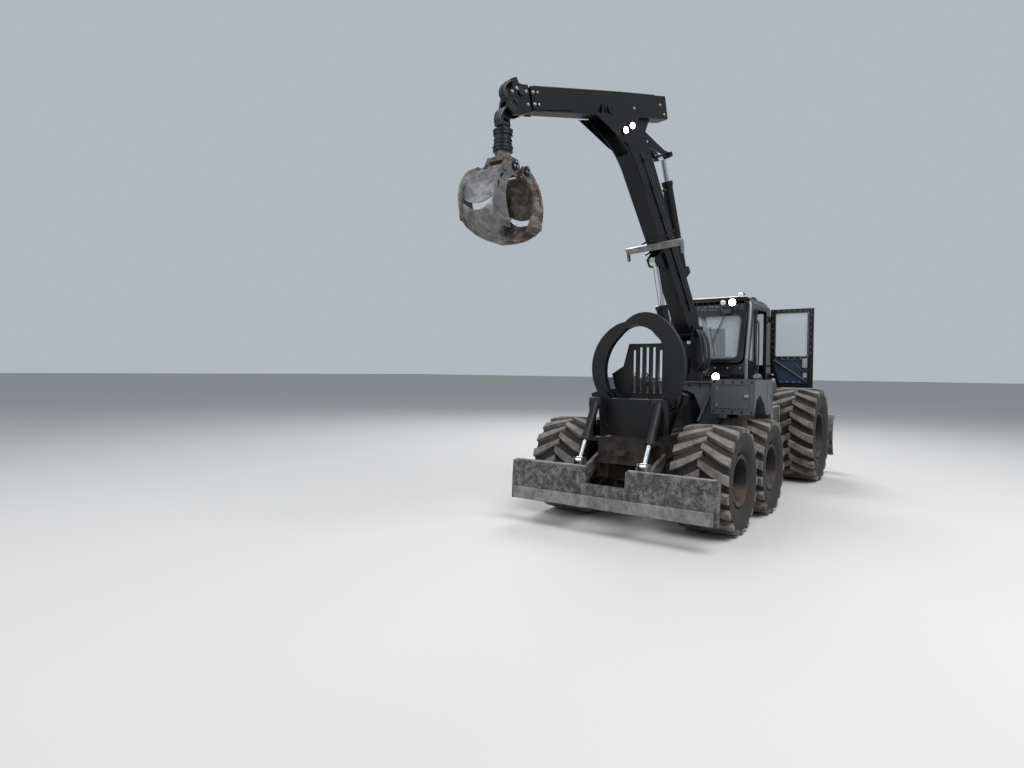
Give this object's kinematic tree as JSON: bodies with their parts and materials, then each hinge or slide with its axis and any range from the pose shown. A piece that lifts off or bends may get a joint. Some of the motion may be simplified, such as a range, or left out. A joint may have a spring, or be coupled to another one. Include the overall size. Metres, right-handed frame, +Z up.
{
  "type": "skidder",
  "caption": "Forestry skidder with an articulated frame, a bogie rear end, a timber crane with grapple, a clam bunk and a blade at each end.",
  "frame": {"origin": "on the ground, under the middle of the machine's outer box", "axes": "+X points forward, the way the machine drives; +Y points to the machine's left; +Z points up"},
  "size_m": [8.9279, 2.833, 6.0398],
  "materials": {
    "black_paint": "satin",
    "grey_paint": "satin",
    "worn_steel": "worn and scratched",
    "rod_chrome": "polished",
    "tyre_rubber": "muddy",
    "rim_paint": "satin",
    "window_glass": "clear",
    "seat_cloth": "matt",
    "lamp_plastic": "glossy",
    "exhaust_steel": "heat stained"
  },
  "bodies": {
    "chassis": {"rear_frame": "black_paint", "bogie_beams": "black_paint", "bunk_base": "black_paint", "rear_fenders": "grey_paint"},
    "front_chassis": {"front_frame": "black_paint", "front_axle": "black_paint", "engine": "grey_paint", "cab_shell": "black_paint", "cab_glass": "window_glass", "cab_guards": "black_paint", "cab_lamps": "lamp_plastic", "cab_interior": "seat_cloth", "cab_mounts": "black_paint", "side_boxes": "grey_paint", "exhaust_stack": "exhaust_steel"},
    "door": {"door_frame": "black_paint", "door_glass": "window_glass"},
    "hood": {"hood": "black_paint"},
    "front_blade": {"front_blade": "worn_steel"},
    "front_blade_barrels": {"front_blade_barrels": "black_paint"},
    "front_blade_rods": {"front_blade_rods": "rod_chrome"},
    "rear_blade": {"rear_blade": "worn_steel"},
    "rear_blade_barrels": {"rear_blade_barrels": "black_paint"},
    "rear_blade_rods": {"rear_blade_rods": "rod_chrome"},
    "crane_column": {"crane_column": "black_paint"},
    "lift_barrel": {"lift_barrel": "black_paint"},
    "lift_rod": {"lift_rod": "rod_chrome"},
    "main_boom": {"main_boom": "black_paint", "boom_crossbar": "worn_steel"},
    "fold_barrel": {"fold_barrel": "black_paint"},
    "fold_rod": {"fold_rod": "rod_chrome"},
    "knuckle_rocker": {"knuckle_rocker": "black_paint"},
    "knuckle_link": {"knuckle_link": "black_paint"},
    "outer_boom": {"outer_boom": "black_paint", "boom_lamps": "lamp_plastic"},
    "boom_extension": {"boom_extension": "black_paint"},
    "swing_link": {"swing_link": "black_paint"},
    "rotator": {"rotator": "black_paint"},
    "grapple_crown": {"grapple_crown": "black_paint"},
    "grapple_shell_outer": {"grapple_shell_outer": "worn_steel"},
    "grapple_shell_inner": {"grapple_shell_inner": "worn_steel"},
    "bunk_arm_right": {"bunk_arm_right": "black_paint"},
    "bunk_arm_left": {"bunk_arm_left": "black_paint"},
    "wheel_rear_right": {"rim_rear_right": "rim_paint", "tyre_rear_right": "tyre_rubber"},
    "wheel_mid_right": {"rim_mid_right": "rim_paint", "tyre_mid_right": "tyre_rubber"},
    "wheel_rear_left": {"rim_rear_left": "rim_paint", "tyre_rear_left": "tyre_rubber"},
    "wheel_mid_left": {"rim_mid_left": "rim_paint", "tyre_mid_left": "tyre_rubber"},
    "wheel_front_right": {"rim_front_right": "rim_paint", "tyre_front_right": "tyre_rubber"},
    "wheel_front_left": {"rim_front_left": "rim_paint", "tyre_front_left": "tyre_rubber"},
    "steer_left_barrel": {"steer_left_barrel": "black_paint"},
    "steer_left_rod": {"steer_left_rod": "rod_chrome"},
    "steer_right_barrel": {"steer_right_barrel": "black_paint"},
    "steer_right_rod": {"steer_right_rod": "rod_chrome"}
  },
  "joints": [
    {"name": "wheel_rear_right_spin", "type": "hinge", "parent": "chassis", "child": "wheel_rear_right", "pos_m": [-1.987, -0.995, 0.6725], "axis": [0, 1, 0], "continuous": true},
    {"name": "wheel_mid_right_spin", "type": "hinge", "parent": "chassis", "child": "wheel_mid_right", "pos_m": [-0.487, -0.995, 0.6725], "axis": [0, 1, 0], "continuous": true},
    {"name": "wheel_rear_left_spin", "type": "hinge", "parent": "chassis", "child": "wheel_rear_left", "pos_m": [-1.987, 0.995, 0.6725], "axis": [0, 1, 0], "continuous": true},
    {"name": "wheel_mid_left_spin", "type": "hinge", "parent": "chassis", "child": "wheel_mid_left", "pos_m": [-0.487, 0.995, 0.6725], "axis": [0, 1, 0], "continuous": true},
    {"name": "wheel_front_right_spin", "type": "hinge", "parent": "front_chassis", "child": "wheel_front_right", "pos_m": [2.963, -0.995, 0.86], "axis": [0, 1, 0], "continuous": true},
    {"name": "wheel_front_left_spin", "type": "hinge", "parent": "front_chassis", "child": "wheel_front_left", "pos_m": [2.963, 0.995, 0.86], "axis": [0, 1, 0], "continuous": true},
    {"name": "articulation", "type": "hinge", "parent": "chassis", "child": "front_chassis", "pos_m": [0.813, 0, 0.925], "axis": [0, 0, 1], "range_deg": [-38, 38]},
    {"name": "door_hinge", "type": "hinge", "parent": "front_chassis", "child": "door", "pos_m": [1.658, -0.728, 2.4], "axis": [0, 0, 1], "range_deg": [-90, 0]},
    {"name": "hood_hinge", "type": "hinge", "parent": "front_chassis", "child": "hood", "pos_m": [2.063, 0, 2.025], "axis": [0, -1, 0], "range_deg": [0, 45]},
    {"name": "rear_blade_lift", "type": "hinge", "parent": "chassis", "child": "rear_blade", "pos_m": [-2.287, 0, 0.9], "axis": [0, 1, 0], "range_deg": [-22, 20]},
    {"name": "rear_blade_cylinders_swing", "type": "hinge", "parent": "chassis", "child": "rear_blade_barrels", "pos_m": [-2.477, 0, 1.61], "axis": [0, -1, 0], "range_deg": [-7.91, 8.7]},
    {"name": "rear_blade_cylinders_stroke", "type": "slide", "parent": "rear_blade_barrels", "child": "rear_blade_rods", "axis": [-0.497, 0, -0.8677], "range_m": [-0.17902, 0.19691]},
    {"name": "front_blade_lift", "type": "hinge", "parent": "front_chassis", "child": "front_blade", "pos_m": [3.413, 0, 0.64], "axis": [0, -1, 0], "range_deg": [-16, 12]},
    {"name": "front_blade_cylinders_swing", "type": "hinge", "parent": "front_chassis", "child": "front_blade_barrels", "pos_m": [3.953, 0, 1.29], "axis": [0, -1, 0], "range_deg": [-7.79, 5.84]},
    {"name": "front_blade_cylinders_stroke", "type": "slide", "parent": "front_blade_barrels", "child": "front_blade_rods", "axis": [0.3692, 0, -0.9294], "range_m": [-0.1536, 0.20476]},
    {"name": "steer_right_swing", "type": "hinge", "parent": "chassis", "child": "steer_right_barrel", "pos_m": [0.253, -0.4, 0.925], "axis": [0, 0, 1], "range_deg": [-15.59, 15.59]},
    {"name": "steer_right_stroke", "type": "slide", "parent": "steer_right_barrel", "child": "steer_right_rod", "axis": [0.9984, 0.056, 0], "range_m": [-0.24032, 0.24032]},
    {"name": "steer_left_swing", "type": "hinge", "parent": "chassis", "child": "steer_left_barrel", "pos_m": [0.253, 0.4, 0.925], "axis": [0, 0, 1], "range_deg": [-15.61, 15.61]},
    {"name": "steer_left_stroke", "type": "slide", "parent": "steer_left_barrel", "child": "steer_left_rod", "axis": [0.9984, -0.056, 0], "range_m": [-0.24032, 0.24032]},
    {"name": "crane_slew", "type": "hinge", "parent": "chassis", "child": "crane_column", "pos_m": [-0.307, 0, 1.75], "axis": [0, 0, 1], "range_deg": [-105, 135]},
    {"name": "main_boom_lift", "type": "hinge", "parent": "crane_column", "child": "main_boom", "pos_m": [-0.28768, -0.00518, 2.636], "axis": [0.2588, 0.9659, 0], "range_deg": [-45, 22]},
    {"name": "lift_cylinder_swing", "type": "hinge", "parent": "crane_column", "child": "lift_barrel", "pos_m": [-0.69337, 0.10353, 1.96], "axis": [0.2588, 0.9659, 0], "range_deg": [-32.3, 15.8]},
    {"name": "lift_cylinder_stroke", "type": "slide", "parent": "lift_barrel", "child": "lift_rod", "axis": [-0.2504, 0.0671, 0.9658], "range_m": [-0.50691, 0.24787]},
    {"name": "outer_boom_fold", "type": "hinge", "parent": "main_boom", "child": "outer_boom", "pos_m": [-2.24811, 0.52012, 5.50129], "axis": [0.2588, 0.9659, 0], "range_deg": [-60, 3]},
    {"name": "knuckle_rocker_swing", "type": "hinge", "parent": "main_boom", "child": "knuckle_rocker", "pos_m": [-1.41533, 0.29698, 5.24744], "axis": [0.2588, 0.9659, 0], "range_deg": [-90.26, 4.53]},
    {"name": "knuckle_link_swing", "type": "hinge", "parent": "outer_boom", "child": "knuckle_link", "pos_m": [-1.52875, 0.32737, 5.40946], "axis": [0.2588, 0.9659, 0], "range_deg": [-4.08, 81.2]},
    {"name": "fold_cylinder_swing", "type": "hinge", "parent": "main_boom", "child": "fold_barrel", "pos_m": [-0.48104, 0.04663, 3.55406], "axis": [0.2588, 0.9659, 0], "range_deg": [-3.92, 0.21]},
    {"name": "fold_cylinder_stroke", "type": "slide", "parent": "fold_barrel", "child": "fold_rod", "axis": [-0.2935, 0.0786, 0.9527], "range_m": [-0.03092, 0.61654]},
    {"name": "extension_slide", "type": "slide", "parent": "outer_boom", "child": "boom_extension", "axis": [-0.9412, 0.2522, -0.225], "range_m": [0, 1.2]},
    {"name": "swing_link_swing", "type": "hinge", "parent": "boom_extension", "child": "swing_link", "pos_m": [-3.84267, 0.94738, 5.09451], "axis": [-0.2588, -0.9659, 0], "range_deg": [-45, 45]},
    {"name": "rotator_swing", "type": "hinge", "parent": "swing_link", "child": "rotator", "pos_m": [-3.90256, 0.96343, 4.90451], "axis": [-0.9659, 0.2588, 0], "range_deg": [-35, 35]},
    {"name": "grapple_turn", "type": "hinge", "parent": "rotator", "child": "grapple_crown", "pos_m": [-3.90256, 0.96343, 4.58451], "axis": [0, 0, 1], "continuous": true},
    {"name": "grapple_shell_outer_open", "type": "hinge", "parent": "grapple_crown", "child": "grapple_shell_outer", "pos_m": [-4.03238, 0.95662, 4.35451], "axis": [-0.0523, 0.9986, 0], "range_deg": [0, 60]},
    {"name": "grapple_shell_inner_open", "type": "hinge", "parent": "grapple_crown", "child": "grapple_shell_inner", "pos_m": [-3.77273, 0.97023, 4.35451], "axis": [-0.0523, 0.9986, 0], "range_deg": [-60.02, 0.02]},
    {"name": "bunk_arm_right_open", "type": "hinge", "parent": "chassis", "child": "bunk_arm_right", "pos_m": [-2.237, -0.5, 1.65], "axis": [1, 0, 0], "range_deg": [0, 75]},
    {"name": "bunk_arm_left_open", "type": "hinge", "parent": "chassis", "child": "bunk_arm_left", "pos_m": [-2.087, 0.5, 1.65], "axis": [1, 0, 0], "range_deg": [-75.02, 0.02]}
  ],
  "couplings": [
    {"joint": "rear_blade_cylinders_swing", "follows": "rear_blade_lift", "ratio": -0.39448},
    {"joint": "rear_blade_cylinders_stroke", "follows": "rear_blade_lift", "m_per_rad": -0.51256},
    {"joint": "front_blade_cylinders_swing", "follows": "front_blade_lift", "ratio": 0.48536},
    {"joint": "front_blade_cylinders_stroke", "follows": "front_blade_lift", "m_per_rad": -0.7329},
    {"joint": "steer_right_swing", "follows": "articulation", "ratio": 0.40979},
    {"joint": "steer_right_stroke", "follows": "articulation", "m_per_rad": 0.36219},
    {"joint": "steer_left_swing", "follows": "articulation", "ratio": 0.41037},
    {"joint": "steer_left_stroke", "follows": "articulation", "m_per_rad": -0.3622},
    {"joint": "lift_cylinder_swing", "follows": "main_boom_lift", "ratio": 0.71725},
    {"joint": "lift_cylinder_stroke", "follows": "main_boom_lift", "m_per_rad": 0.64529},
    {"joint": "knuckle_rocker_swing", "follows": "outer_boom_fold", "ratio": 1.504},
    {"joint": "knuckle_link_swing", "follows": "outer_boom_fold", "ratio": -1.353},
    {"joint": "fold_cylinder_swing", "follows": "outer_boom_fold", "ratio": 0.065},
    {"joint": "fold_cylinder_stroke", "follows": "outer_boom_fold", "m_per_rad": -0.58866},
    {"joint": "grapple_shell_inner_open", "follows": "grapple_shell_outer_open", "ratio": -1},
    {"joint": "bunk_arm_left_open", "follows": "bunk_arm_right_open", "ratio": -1}
  ]
}
